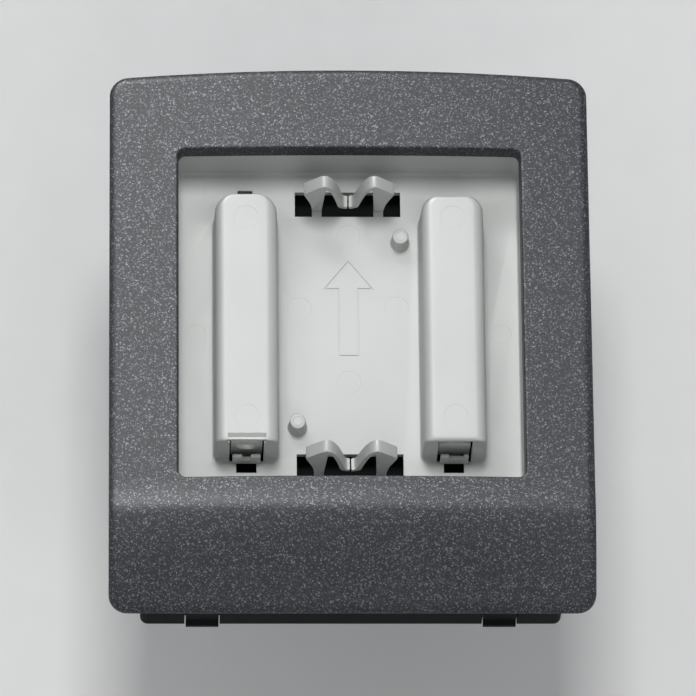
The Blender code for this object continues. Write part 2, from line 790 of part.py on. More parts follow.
def make_clips():
    """Two M-shaped clips, each in two halves that flex at their roots."""
    for side, level_name in ((1, "upper"), (-1, "lower")):
        low = side * CLIP_HOLE_Z - CLIP_HOLE_HEIGHT / 2 + CLIP_SEAT
        z_range = (low, low + CLIP_THICK)
        for hand, hand_name in ((-1, "left"), (1, "right")):
            slab("%s_clip_%s" % (level_name, hand_name), clip_section(hand), z_range, tray_plastic())


# ---------------------------------------------------------------- contacts and cells


def contact_plate(name, x, side, front):
    """A flat contact plate at the end given by side (1 is up), with a tail that reaches behind the floor."""
    z_range = sorted((side * PLATE_Z, side * (PLATE_Z - PLATE_THICK)))
    plate = box(
        name,
        (x - PLATE_WIDTH / 2, x + PLATE_WIDTH / 2),
        (FLOOR_REAR + 0.4, front),
        z_range,
        contact_metal(),
    )
    tail = box(
        name + "_tail",
        (x - 1.8, x + 1.8),
        (FLOOR_REAR - 1.3, FLOOR_REAR + 1.0),
        (z_range[0] + 0.01, z_range[1] - 0.01),
        contact_metal(),
    )
    join(plate, tail)
    return plate


def button_plate(name, x, side):
    """A contact plate with a pressed button that meets a cell's nub."""
    plate = contact_plate(name, x, side, HUMP_TOP - HUMP_ROOF - 0.2)
    base = place(x, CELL_DEPTH, side * (PLATE_Z - PLATE_THICK / 2))
    rise = BUTTON_HEIGHT + PLATE_THICK / 2
    button = turned(
        name + "_button",
        ((0.0, 0.0), (BUTTON_RADIUS, 0.0), (BUTTON_RADIUS - 0.7, rise), (0.0, rise)),
        base,
        (0, 0, -side),
        contact_metal(),
        steps=20,
    )
    dish = turned(
        name + "_dish",
        (
            (0.0, -1.0),
            (BUTTON_RADIUS - 0.3, -1.0),
            (BUTTON_RADIUS - 0.4, 0.0),
            (BUTTON_RADIUS - 1.1, rise - PLATE_THICK),
            (0.0, rise - PLATE_THICK),
        ),
        base,
        (0, 0, -side),
        contact_metal(),
        steps=20,
    )
    join(plate, button)
    cut(plate, dish)
    return plate


def cell_spring(name, x, side):
    """A conical coil spring along Z, wide at its plate."""
    per_turn = 12
    count = per_turn * SPRING_TURNS
    half_wire = SPRING_WIRE / 2
    curve = bpy.data.curves.new(name, "CURVE")
    curve.dimensions = "3D"
    curve.bevel_depth = half_wire * MM
    curve.bevel_resolution = 1
    curve.use_fill_caps = True
    line = curve.splines.new("POLY")
    line.points.add(count)
    start = side * (SPRING_Z - half_wire)
    travel = -side * (SPRING_LENGTH - 2 * GAP - SPRING_WIRE)
    for number in range(count + 1):
        share = number / count
        angle = math.tau * number / per_turn
        radius = SPRING_BASE_RADIUS + (SPRING_TIP_RADIUS - SPRING_BASE_RADIUS) * share
        point = place(x + radius * math.cos(angle), CELL_DEPTH + radius * math.sin(angle), start + travel * share)
        line.points[number].co = (*point, 1.0)
    curve.materials.append(contact_metal())
    made = bpy.data.objects.new(name, curve)
    bpy.context.scene.collection.objects.link(made)
    return made


def make_cell(hand, x, nub_side):
    """An AA cell: steel can with its nub, the printed sleeve, and the ring that insulates the nub."""
    nub_end = place(x, CELL_DEPTH, nub_side * CELL_NUB_Z)
    inward = (0, 0, -nub_side)
    can_radius = CELL_RADIUS - SLEEVE_WALL - GAP
    turned(
        hand + "_cell_can",
        (
            (0.0, 0.0),
            (NUB_RADIUS - 0.3, 0.0),
            (NUB_RADIUS, 0.3),
            (NUB_RADIUS, NUB_HEIGHT + 0.8),
            (can_radius - 0.6, NUB_HEIGHT + 0.8),
            (can_radius, NUB_HEIGHT + 1.4),
            (can_radius, CELL_LENGTH - 0.5),
            (can_radius - 0.5, CELL_LENGTH),
            (0.0, CELL_LENGTH),
        ),
        nub_end,
        inward,
        cell_metal(),
    )
    along = Vector(inward)
    tube(
        hand + "_cell_sleeve",
        CELL_RADIUS,
        CELL_RADIUS - SLEEVE_WALL,
        nub_end + along * (NUB_HEIGHT * MM),
        inward,
        CELL_LENGTH - NUB_HEIGHT - 0.2,
        cell_label(),
    )
    tube(
        hand + "_cell_seal",
        can_radius - 0.9,
        NUB_RADIUS + GAP,
        nub_end + along * (NUB_HEIGHT * MM),
        inward,
        0.5,
        seal_plastic(),
        steps=24,
    )


def make_contacts_and_cells():
    """The left cell has its nub down, the right one up, so the strap joins them in series."""
    button_plate("left_button_plate", -CELL_X, -1)
    contact_plate("left_spring_plate", -CELL_X, 1, FLOOR_DEPTH + SPRING_PLATE_REACH)
    cell_spring("left_cell_spring", -CELL_X, 1)
    make_cell("left", -CELL_X, -1)
    contact_plate("right_spring_plate", CELL_X, -1, FLOOR_DEPTH + SPRING_PLATE_REACH)
    button_plate("right_button_plate", CELL_X, 1)
    cell_spring("right_cell_spring", CELL_X, -1)
    make_cell("right", CELL_X, 1)
    strap_front = FLOOR_REAR - 1.3 - GAP
    box(
        "link_strap",
        (-CELL_X - 1.8, CELL_X + 1.8),
        (strap_front - STRAP_THICK, strap_front),
        (PLATE_Z - STRAP_WIDTH, PLATE_Z),
        contact_metal(),
    )


# ---------------------------------------------------------------- wall base and latches


def base_wall_top(z):
    """Depth of the base wall's front edge, kept clear of the chin."""
    return min(BASE_DEPTH, front_depth(FRAME_HALF, z) - FRAME_WALL - 1.0)


def make_base():
    """The black base that is screwed to the wall."""
    outside = outline(BASE_HALF, BASE_BOTTOM, BASE_TOP, BASE_CORNER, BASE_CORNER)
    inside = outline(
        BASE_HALF - BASE_WALL, BASE_BOTTOM + BASE_WALL, BASE_TOP - BASE_WALL, 0.6, 0.6
    )
    base = capped_solid(
        "wall_base",
        [
            level(outside, 0.0),
            [place(x, base_wall_top(z), z) for x, z in outside],
            [place(x, base_wall_top(z), z) for x, z in inside],
            level(inside, BASE_PLATE),
        ],
        base_plastic(),
    )
    cuts = []
    for side in (-1, 1):
        slot = box(
            "hook_slot_%d" % side,
            (side * HOOK_X - HOOK_WIDTH / 2 - SLIP, side * HOOK_X + HOOK_WIDTH / 2 + SLIP),
            (HOOK_DEPTH - HOOK_LEG / 2 - 1.4, HOOK_DEPTH + HOOK_LEG / 2 + 1.8),
            (BASE_TOP - BASE_WALL - 1.0, BASE_TOP + 1.0),
            base_plastic(),
        )
        notch = box(
            "latch_notch_%d" % side,
            (side * LATCH_X - LATCH_WIDTH / 2 - GAP, side * LATCH_X + LATCH_WIDTH / 2 + GAP),
            (-1.0, LATCH_FRONT + 0.5),
            (BASE_BOTTOM - 1.0, BASE_BOTTOM + BASE_WALL + 0.3),
            base_plastic(),
        )
        cuts += [slot, notch]
        for z in (BASE_TOP - WALL_HOLE_INSET, BASE_BOTTOM + WALL_HOLE_INSET):
            hole = turned(
                "wall_hole_%d_%d" % (side, z),
                (
                    (0.0, -1.0),
                    (WALL_HOLE_RADIUS, -1.0),
                    (WALL_HOLE_RADIUS, BASE_PLATE + 1.0),
                    (0.0, BASE_PLATE + 1.0),
                ),
                place(side * WALL_HOLE_X, 0.0, z),
                (0, -1, 0),
                base_plastic(),
                steps=20,
            )
            cuts.append(hole)
    cut(base, group("base_cuts", cuts))
    return base


def make_latches():
    """Two rocking latches in the base's lower wall, each with a lip to pull at the wall and a nib in front."""
    rear = GAP
    low = BASE_BOTTOM + 0.2
    high = low + LATCH_THICK
    for side, hand in ((-1, "left"), (1, "right")):
        x_range = (side * LATCH_X - LATCH_WIDTH / 2, side * LATCH_X + LATCH_WIDTH / 2)
        section = (
            (rear, BASE_BOTTOM - LATCH_LIP),
            (rear + 1.5, BASE_BOTTOM - LATCH_LIP),
            (rear + 2.2, low),
            (LATCH_FRONT, low),
            (LATCH_FRONT, high + 0.3),
            (LATCH_FRONT - 0.9, high + 0.3),
            (LATCH_FRONT - 1.5, high),
            (rear, high),
        )
        prism(hand + "_latch", x_range, section, base_plastic())


def main():
    clear_scene()
    make_base()
    make_latches()
    make_frame()
    make_tray()
    make_screws()
    make_clips()
    make_contacts_and_cells()


main()
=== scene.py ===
import math

import bmesh
import bpy
from mathutils import Matrix, Vector


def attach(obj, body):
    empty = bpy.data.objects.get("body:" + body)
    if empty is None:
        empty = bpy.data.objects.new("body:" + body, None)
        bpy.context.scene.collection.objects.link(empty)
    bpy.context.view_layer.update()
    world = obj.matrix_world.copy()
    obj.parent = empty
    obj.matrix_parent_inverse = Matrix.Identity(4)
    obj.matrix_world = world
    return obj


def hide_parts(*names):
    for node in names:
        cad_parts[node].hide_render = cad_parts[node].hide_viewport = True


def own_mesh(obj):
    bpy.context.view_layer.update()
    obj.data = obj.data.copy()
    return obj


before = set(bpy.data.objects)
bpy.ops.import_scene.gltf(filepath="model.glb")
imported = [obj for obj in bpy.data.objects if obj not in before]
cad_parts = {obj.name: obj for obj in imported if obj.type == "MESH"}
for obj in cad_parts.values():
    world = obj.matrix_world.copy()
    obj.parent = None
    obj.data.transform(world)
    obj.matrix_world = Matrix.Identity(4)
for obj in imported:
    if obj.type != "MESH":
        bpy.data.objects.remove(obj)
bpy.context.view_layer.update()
toMetres = 0.001


# every size below is in millimetres, and depth is the distance from the wall

def place(x, depth, z):
    return Vector((x * toMetres, -depth * toMetres, z * toMetres))


def toObject(name, data, angle=32):
    # a linked object with outward faces, smooth except across sharp edges
    bmesh.ops.remove_doubles(data, verts=data.verts, dist=1e-6)
    bmesh.ops.recalc_face_normals(data, faces=data.faces[:])
    mesh = bpy.data.meshes.new(name)
    data.to_mesh(mesh)
    data.free()
    mesh.shade_smooth()
    mesh.set_sharp_from_angle(angle=math.radians(angle))
    made = bpy.data.objects.new(name, mesh)
    bpy.context.scene.collection.objects.link(made)
    return made


def flatten(piece, angle=32):
    # applies what modifiers the piece has, and leaves a plain mesh
    graph = bpy.context.evaluated_depsgraph_get()
    mesh = bpy.data.meshes.new_from_object(piece.evaluated_get(graph))
    piece.modifiers.clear()
    piece.data = mesh
    mesh.shade_smooth()
    mesh.set_sharp_from_angle(angle=math.radians(angle))
    return piece


def carve(piece, others, operation="DIFFERENCE", angle=32):
    # one Boolean with several solids that don't touch each other
    data = bmesh.new()
    for other in others:
        data.from_mesh(other.data)
        bpy.data.objects.remove(other)
    tool = toObject("tool", data)
    step = piece.modifiers.new("carve", "BOOLEAN")
    step.operation = operation
    step.solver = "EXACT"
    step.object = tool
    flatten(piece, angle)
    bpy.data.objects.remove(tool)
    return piece


def skin(data, loops, wrap=False, capped=False):
    rows = [[data.verts.new(point) for point in loop] for loop in loops]
    count = len(rows[0])
    for first, second in list(zip(rows, rows[1:])) + ([(rows[-1], rows[0])] if wrap else []):
        for i in range(count):
            j = (i + 1) % count
            data.faces.new((first[i], first[j], second[j], second[i]))
    if capped:
        data.faces.new(rows[0])
        data.faces.new(rows[-1])


def lofted(name, loops, wrap=False, angle=32):
    data = bmesh.new()
    skin(data, loops, wrap, not wrap)
    return toObject(name, data, angle)


def block(name, xs, depths, zs, soft=0.0):
    data = bmesh.new()
    bmesh.ops.create_cube(data, size=1.0)
    spans = [abs(pair[1] - pair[0]) * toMetres for pair in (xs, depths, zs)]
    bmesh.ops.scale(data, vec=spans, verts=data.verts)
    bmesh.ops.translate(data, vec=place(sum(xs) / 2, sum(depths) / 2, sum(zs) / 2), verts=data.verts)
    if soft:
        edges = data.edges[:]
        bmesh.ops.bevel(data, geom=edges, offset=soft * toMetres, segments=3, profile=0.5, affect="EDGES")
    return toObject(name, data)


def turned(name, profile, start, direction, steps=48, angle=32):
    # profile is (radius, distance along direction) from start
    data = bmesh.new()
    axis = Vector(direction).normalized()
    side = axis.orthogonal().normalized()
    verts = [data.verts.new(start + side * (r * toMetres) + axis * (d * toMetres)) for r, d in profile]
    closed = profile[0][0] > 0
    pairs = list(zip(verts, verts[1:])) + ([(verts[-1], verts[0])] if closed else [])
    edges = [data.edges.new(pair) for pair in pairs]
    bmesh.ops.spin(
        data, geom=verts + edges, cent=start, axis=axis, angle=math.tau, steps=steps, use_merge=True
    )
    return toObject(name, data, angle)


def prism(name, points, zs, soft=0.0, angle=32):
    # (x, depth) points extruded along Z, with its long edges rounded by soft
    data = bmesh.new()
    low = [data.verts.new(place(x, depth, zs[0])) for x, depth in points]
    high = [data.verts.new(place(x, depth, zs[1])) for x, depth in points]
    ends = [data.faces.new(low), data.faces.new(high)]
    for i in range(len(points)):
        j = (i + 1) % len(points)
        data.faces.new((low[i], low[j], high[j], high[i]))
    if soft:
        rims = [edge for edge in data.edges if any(face in ends for face in edge.link_faces)]
        bmesh.ops.bevel(data, geom=rims, offset=soft * toMetres, segments=2, profile=0.5, affect="EDGES")
    return toObject(name, data, angle)


def smoothLine(points, steps):
    # a Catmull-Rom line through the points
    line = []
    ends = [points[0]] + list(points) + [points[-1]]
    for a, b, c, d in zip(ends, ends[1:], ends[2:], ends[3:]):
        for step in range(steps):
            t = step / steps
            line.append(tuple(
                0.5 * (
                    2 * q + (r - p) * t + (2 * p - 5 * q + 4 * r - s) * t * t
                    + (3 * q - p - 3 * r + s) * t ** 3
                )
                for p, q, r, s in zip(a, b, c, d)
            ))
    line.append(tuple(points[-1]))
    return line


def outline(halfX, low, high, lowRadius, highRadius, bow=0.0, cornerSteps=10, sides=(40, 40), middle=0.0):
    # (x, z) round a rounded rectangle whose top edge may be bowed; sides are the divisions up and across
    corners = (
        (halfX - lowRadius, low + lowRadius, lowRadius, -90),
        (halfX - highRadius, high - highRadius, highRadius, 0),
        (-halfX + highRadius, high - highRadius, highRadius, 90),
        (-halfX + lowRadius, low + lowRadius, lowRadius, 180),
    )
    points = []
    for number, (x, z, radius, start) in enumerate(corners):
        for step in range(cornerSteps + 1):
            turn = math.radians(start + 90 * step / cornerSteps)
            points.append((x + radius * math.cos(turn), z + radius * math.sin(turn)))
        nextX, nextZ, nextRadius, nextStart = corners[(number + 1) % 4]
        turn = math.radians(nextStart)
        ahead = (nextX + nextRadius * math.cos(turn), nextZ + nextRadius * math.sin(turn))
        here, count = points[-1], sides[number % 2]
        for step in range(1, count):
            share = step / count
            points.append((here[0] + (ahead[0] - here[0]) * share, here[1] + (ahead[1] - here[1]) * share))
    rise = high - low
    return [
        (middle + x, z + bow * (1 - (x / halfX) ** 2) * max(0.0, (z - low) / rise) ** 8) for x, z in points
    ]


def level(points, depth):
    return [place(x, depth, z) for x, z in points]


def dress(piece, finish, body, slotName, *nodes):
    # gives a finished piece its material, its body and the nodes it stands for
    piece.data.materials.clear()
    piece.data.materials.append(finish)
    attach(piece, body)
    if nodes:
        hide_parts(*nodes)
    return piece


def repaint(node, finish):
    held = bpy.data.objects[node]
    for holder in held.material_slots:
        holder.material = finish


# shader groups that several finishes share

def shaderGroup(name, inputs, outputs):
    tree = bpy.data.node_groups.new(name, "ShaderNodeTree")
    for label, default in inputs:
        socket = tree.interface.new_socket(label, in_out="INPUT", socket_type="NodeSocketFloat")
        socket.default_value = default
    for label in outputs:
        tree.interface.new_socket(label, in_out="OUTPUT", socket_type="NodeSocketFloat")
    return tree, tree.nodes.new("NodeGroupInput"), tree.nodes.new("NodeGroupOutput")


def ranged(tree, source, low, high, toLow, toHigh):
    node = tree.nodes.new("ShaderNodeMapRange")
    for label, value in (("From Min", low), ("From Max", high), ("To Min", toLow), ("To Max", toHigh)):
        node.inputs[label].default_value = value
    tree.links.new(source, node.inputs["Value"])
    return node.outputs["Result"]


def buildGrain():
    # a fine moulded or sprayed texture with a slow drift in tone
    inputs = (("Fine", 900.0), ("Slow", 30.0), ("Detail", 3.0))
    tree, given, out = shaderGroup("surfaceGrain", inputs, ("Grain", "Drift"))
    coords = tree.nodes.new("ShaderNodeTexCoord")
    for label, socket in (("Fine", "Grain"), ("Slow", "Drift")):
        noise = tree.nodes.new("ShaderNodeTexNoise")
        tree.links.new(coords.outputs["Object"], noise.inputs["Vector"])
        tree.links.new(given.outputs[label], noise.inputs["Scale"])
        tree.links.new(given.outputs["Detail"], noise.inputs["Detail"])
        tree.links.new(noise.outputs["Fac"], out.inputs[socket])
    return tree


def buildFleck():
    # small bright flakes, each with its own strength
    tree, given, out = shaderGroup("fleck", (("Size", 2600.0), ("Amount", 0.8), ("Rarity", 2.0)), ("Fleck",))
    coords = tree.nodes.new("ShaderNodeTexCoord")
    cells = tree.nodes.new("ShaderNodeTexVoronoi")
    tree.links.new(coords.outputs["Object"], cells.inputs["Vector"])
    tree.links.new(given.outputs["Size"], cells.inputs["Scale"])
    split = tree.nodes.new("ShaderNodeSeparateColor")
    tree.links.new(cells.outputs["Color"], split.inputs["Color"])
    rare = tree.nodes.new("ShaderNodeMath")
    rare.operation = "POWER"
    tree.links.new(split.outputs["Red"], rare.inputs[0])
    tree.links.new(given.outputs["Rarity"], rare.inputs[1])
    scaled = tree.nodes.new("ShaderNodeMath")
    scaled.operation = "MULTIPLY"
    tree.links.new(rare.outputs["Value"], scaled.inputs[0])
    tree.links.new(given.outputs["Amount"], scaled.inputs[1])
    tree.links.new(scaled.outputs["Value"], out.inputs["Fleck"])
    return tree


grainGroup = buildGrain()
fleckGroup = buildFleck()


def useGroup(tree, group, **values):
    node = tree.nodes.new("ShaderNodeGroup")
    node.node_tree = group
    for label, value in values.items():
        node.inputs[label].default_value = value
    return node


def mixedColour(tree, mask, first, second):
    node = tree.nodes.new("ShaderNodeMix")
    node.data_type = "RGBA"
    tree.links.new(mask, node.inputs["Factor"])
    for label, value in (("A", first), ("B", second)):
        socket = [item for item in node.inputs if item.name == label and item.type == "RGBA"][0]
        if isinstance(value, tuple):
            socket.default_value = (*value, 1.0)
        else:
            tree.links.new(value, socket)
    return [item for item in node.outputs if item.type == "RGBA"][0]


def finishMaterial(name, dark, light, rough, grain, metallic=0.0, fleck=None, coat=0.0, specular=0.5):
    # dark and light are the ends of the slow drift; rough is (low, high); grain sets the bump
    made = bpy.data.materials.new(name)
    made.use_nodes = True
    tree = made.node_tree
    shader = tree.nodes["Principled BSDF"]
    shader.inputs["Metallic"].default_value = metallic
    shader.inputs["Coat Weight"].default_value = coat
    shader.inputs["Specular IOR Level"].default_value = specular
    texture = useGroup(tree, grainGroup, Fine=grain["fine"], Slow=grain["slow"], Detail=3.0)
    drift = ranged(tree, texture.outputs["Drift"], 0.3, 0.7, 0.0, 1.0)
    colour = mixedColour(tree, drift, dark, light)
    if fleck:
        flakes = useGroup(
            tree, fleckGroup, Size=fleck["size"], Amount=fleck["amount"], Rarity=fleck["rarity"]
        )
        colour = mixedColour(tree, flakes.outputs["Fleck"], colour, fleck["colour"])
        shine = ranged(tree, flakes.outputs["Fleck"], 0.0, 1.0, metallic, fleck["shine"])
        tree.links.new(shine, shader.inputs["Metallic"])
    tree.links.new(colour, shader.inputs["Base Color"])
    tree.links.new(ranged(tree, texture.outputs["Grain"], 0.3, 0.7, *rough), shader.inputs["Roughness"])
    bump = tree.nodes.new("ShaderNodeBump")
    bump.inputs["Strength"].default_value = grain["bump"]
    bump.inputs["Distance"].default_value = grain["height"]
    tree.links.new(texture.outputs["Grain"], bump.inputs["Height"])
    tree.links.new(bump.outputs["Normal"], shader.inputs["Normal"])
    made.diffuse_color = (*light, 1.0)
    return made


framePaint = finishMaterial(
    "framePaint", (0.017, 0.019, 0.023), (0.022, 0.0245, 0.029), (0.46, 0.54),
    {"fine": 2600.0, "slow": 22.0, "bump": 0.25, "height": 0.00006}, specular=0.21,
    fleck={"size": 3300.0, "amount": 0.7, "rarity": 7.0, "colour": (0.20, 0.21, 0.23), "shine": 0.45},
)
trayPlastic = finishMaterial(
    "trayPlastic", (0.385, 0.401, 0.385), (0.42, 0.433, 0.418), (0.44, 0.54),
    {"fine": 1500.0, "slow": 38.0, "bump": 0.05, "height": 0.00005},
)
basePlastic = finishMaterial(
    "basePlastic", (0.004, 0.0043, 0.0046), (0.007, 0.0075, 0.0085), (0.62, 0.76),
    {"fine": 1900.0, "slow": 40.0, "bump": 0.25, "height": 0.00008}, specular=0.06,
)
contactMetal = finishMaterial(
    "contactMetal", (0.84, 0.83, 0.80), (0.92, 0.91, 0.88), (0.30, 0.44),
    {"fine": 1200.0, "slow": 90.0, "bump": 0.05, "height": 0.00003}, metallic=0.45,
)
screwMetal = finishMaterial(
    "screwMetal", (0.40, 0.40, 0.41), (0.50, 0.50, 0.52), (0.28, 0.42),
    {"fine": 1400.0, "slow": 120.0, "bump": 0.08, "height": 0.00003}, metallic=1.0,
)
cellMetal = finishMaterial(
    "cellMetal", (0.66, 0.66, 0.66), (0.76, 0.76, 0.76), (0.18, 0.3),
    {"fine": 1000.0, "slow": 80.0, "bump": 0.04, "height": 0.00003}, metallic=1.0,
)
cellLabel = finishMaterial(
    "cellLabel", (0.085, 0.20, 0.15), (0.11, 0.24, 0.18), (0.25, 0.36),
    {"fine": 700.0, "slow": 60.0, "bump": 0.04, "height": 0.00004}, coat=0.3,
)
sealPlastic = finishMaterial(
    "sealPlastic", (0.26, 0.26, 0.25), (0.32, 0.32, 0.31), (0.45, 0.6),
    {"fine": 1500.0, "slow": 90.0, "bump": 0.1, "height": 0.00005},
)
print("finishes made")


# the front frame's sizes

cover = {
    "width": 125.3, "top": 66.0, "bow": 1.7, "bottom": -79.3, "corner": 4.8,
    "openX": 44.8, "openZ": 45.35, "openCorner": 2.0,
    "front": 25.6, "bulge": 2.4, "rim": 17.0, "wall": 2.2, "skirt": 2.0,
    "edge": 2.2, "edgeDrop": 1.5, "lipRound": 0.55, "lipDepth": 5.0, "lipWall": 1.8, "lipDraft": 0.2,
    "chin": ((-46.0, 0.0), (-52.4, 0.20), (-54.8, -0.17), (-79.3, -0.43)),
    "rows": 44,
}


def chinDepth(z):
    depth = 0.0
    for (high, slopeHigh), (low, slopeLow) in zip(cover["chin"], cover["chin"][1:]):
        reached = min(max(high - z, 0.0), high - low)
        slope = slopeHigh + (slopeLow - slopeHigh) * reached / (high - low)
        depth += reached * (slopeHigh + slope) / 2
    return depth


def frontDepth(x, z):
    crease = cover["chin"][1][0]
    share = min(max((crease - z) / (crease - cover["bottom"]), 0.0), 1.0)
    fade = 1 - share * share * (3 - 2 * share)
    across = max(0.0, 1 - (2 * x / cover["width"]) ** 2)
    return cover["front"] + cover["bulge"] * across * fade + chinDepth(z)


def onFront(points, drop):
    return [place(x, frontDepth(x, z) - drop, z) for x, z in points]


def makeCover():
    c = cover
    sides = (104, 104)

    def opening(grow):
        radius = max(c["openCorner"] + grow, 0.4)
        x, z = c["openX"] + grow, c["openZ"] + grow
        return outline(x, -z, z, radius, radius, 0.0, 10, sides)

    def outer(shrink):
        radius = max(c["corner"] - shrink, 0.8)
        low, high = c["bottom"] + shrink, c["top"] - shrink
        return outline(c["width"] / 2 - shrink, low, high, radius, radius, c["bow"], 10, sides)

    def between(first, second, share):
        return [(a[0] + (b[0] - a[0]) * share, a[1] + (b[1] - a[1]) * share) for a, b in zip(first, second)]

    loops = [onFront(opening(-c["lipDraft"]), c["lipDepth"]), onFront(opening(-0.02), c["lipRound"] + 0.6)]
    for step in range(6):
        turn = math.radians(90 * step / 5)
        grow, drop = c["lipRound"] * (1 - math.cos(turn)), c["lipRound"] * (1 - math.sin(turn))
        loops.append(onFront(opening(grow), drop))
    inner, border = opening(c["lipRound"]), outer(c["edge"])
    loops += [onFront(between(inner, border, row / c["rows"]), 0.0) for row in range(1, c["rows"] + 1)]
    for step in range(1, 9):
        turn = math.radians(90 * step / 8)
        shrink, drop = c["edge"] * (1 - math.sin(turn)), c["edgeDrop"] * (1 - math.cos(turn))
        loops.append(onFront(outer(shrink), drop))
    loops.append(level(outer(0.0), c["rim"] + 0.3))
    loops.append(level(outer(0.3), c["rim"]))
    loops.append(level(outer(c["skirt"] - 0.2), c["rim"]))
    loops.append(level(outer(c["skirt"]), c["rim"] + 0.2))
    inside, lipOuter = outer(c["skirt"]), opening(c["lipWall"])
    loops += [onFront(between(inside, lipOuter, row / 10), c["wall"]) for row in range(11)]
    loops.append(onFront(lipOuter, c["lipDepth"]))
    piece = lofted("frontCover", loops, wrap=True, angle=38)
    return dress(piece, framePaint, "front_unit", "frame_paint", "front_frame")


fittings = {
    "baseHalf": 54.55, "baseTop": 60.5, "baseBottom": -76.4, "baseWall": 2.0,
    "slip": 0.6, "gap": 0.3, "soft": 0.25, "ribZ": 20.0, "ribHalf": 6.0,
    "hookX": 34.0, "hookHalf": 4.0, "hookThick": 1.5, "hookDepth": 13.5, "hookLeg": 2.0, "hookToe": 1.5,
    "latchX": 38.5, "tongueHalf": 3.25, "tongueThick": 1.0, "tongueTail": 11.2,
    "bossX": 49.6, "bossZ": 34.0, "bossRadius": 2.2, "bossTip": 19.3, "boreRadius": 1.4, "boreDeep": 4.0,
}


def addFittings(piece):
    # the ribs, hooks, catch tongues and screw bosses on the back of the cover
    f, inner = fittings, cover["wall"] / 2
    solids, bores = [], []

    def across(side, middle, half, section):
        ends = (side * middle - half, side * middle + half)
        return lofted("f", [[place(x, depth, z) for depth, z in section] for x in ends])

    for side in (-1, 1):
        ribX = (side * (f["baseHalf"] + f["slip"]), side * (f["baseHalf"] + f["slip"] + f["hookThick"]))
        for z in (-f["ribZ"], f["ribZ"]):
            depths = (cover["rim"] + f["gap"], frontDepth(ribX[1], z) - inner)
            solids.append(block("f", ribX, depths, (z - f["ribHalf"], z + f["ribHalf"]), f["soft"]))
        low = f["baseTop"] + f["slip"]
        high, toe = low + f["hookThick"], f["baseTop"] - f["baseWall"] - f["hookToe"]
        root = frontDepth(f["hookX"], low) - inner
        back, front = f["hookDepth"] - f["hookLeg"] / 2, f["hookDepth"] + f["hookLeg"] / 2
        hook = ((back, toe), (front, toe), (front, low), (root, low), (root, high), (back, high))
        solids.append(across(side, f["hookX"], f["hookHalf"], hook))
        low = f["baseBottom"] + f["baseWall"] + f["gap"] + 0.1
        high, root = low + f["tongueThick"], frontDepth(cover["width"] / 2, low) - inner
        tongue = ((f["tongueTail"], low), (root, low), (root, high), (f["tongueTail"] + 0.4, high))
        solids.append(across(side, f["latchX"], f["tongueHalf"], tongue))
        for z in (-f["bossZ"], f["bossZ"]):
            x, root, radius = side * f["bossX"], frontDepth(f["bossX"], z) - inner, f["bossRadius"]
            high = root - f["bossTip"]
            boss = ((0, 0), (radius, 0), (radius, high - 0.25), (radius - 0.25, high), (0, high))
            solids.append(turned("f", boss, place(x, root, z), (0, 1, 0), 32))
            bore = ((0, -1), (f["boreRadius"], -1), (f["boreRadius"], f["boreDeep"]), (0, f["boreDeep"]))
            bores.append(turned("f", bore, place(x, f["bossTip"], z), (0, -1, 0), 24))
    carve(piece, solids, "UNION", 38)
    carve(piece, bores, angle=38)


addFittings(makeCover())
print("front frame made")


# the battery tray's sizes

tray = {
    "floor": 9.4, "thick": 2.0, "wallWide": 1.5, "outsideLip": 0.1, "cornerIn": 1.8, "floorFillet": 0.7,
    "cellX": 27.0, "cellDepth": 14.65, "bayRadius": 7.5, "humpHalf": 8.4, "humpZ": 34.475, "humpTop": 23.4,
    "humpEdge": 3.2, "bayHalf": 33.075,
    "windowWide": 8.9, "tongueWide": 7.3, "tongueHigh": 4.7, "slotWide": 5.3, "slotLong": 2.6,
    "pegX": 13.65, "pegZ": 25.75, "pegRadius": 2.35, "pegHigh": 5.0,
    "tongueStep": 1.2, "tongueThick": 1.0, "tongueRoot": 0.5, "tongueSoft": 0.22,
    "holeHalf": 13.9, "holeHigh": 6.9, "holeZ": 36.6,
    "rootIn": 6.85, "rootOut": 9.35, "seat": 1.35, "clipThick": 3.2,
    "grooveHalf": 0.16, "grooveDeep": 0.22,
    "floorMarks": (  # x, z and radius of the round ejector marks
        (0.0, 27.7, 3.15), (-12.9, 7.3, 3.15), (12.6, 7.5, 3.15), (0.0, -13.2, 3.15), (-40.0, 0.2, 2.6),
        (40.0, 0.2, 2.6), (-40.0, 39.9, 2.6), (40.0, 39.9, 2.6), (19.3, 41.5, 2.6),
    ),
    "humpMarks": (-27.6, 27.6), "humpMarkRadius": 3.2,
    "earX": 49.6, "earZ": 34.0, "earDepth": 17.0, "earThick": 2.0, "earRadius": 2.2,
}


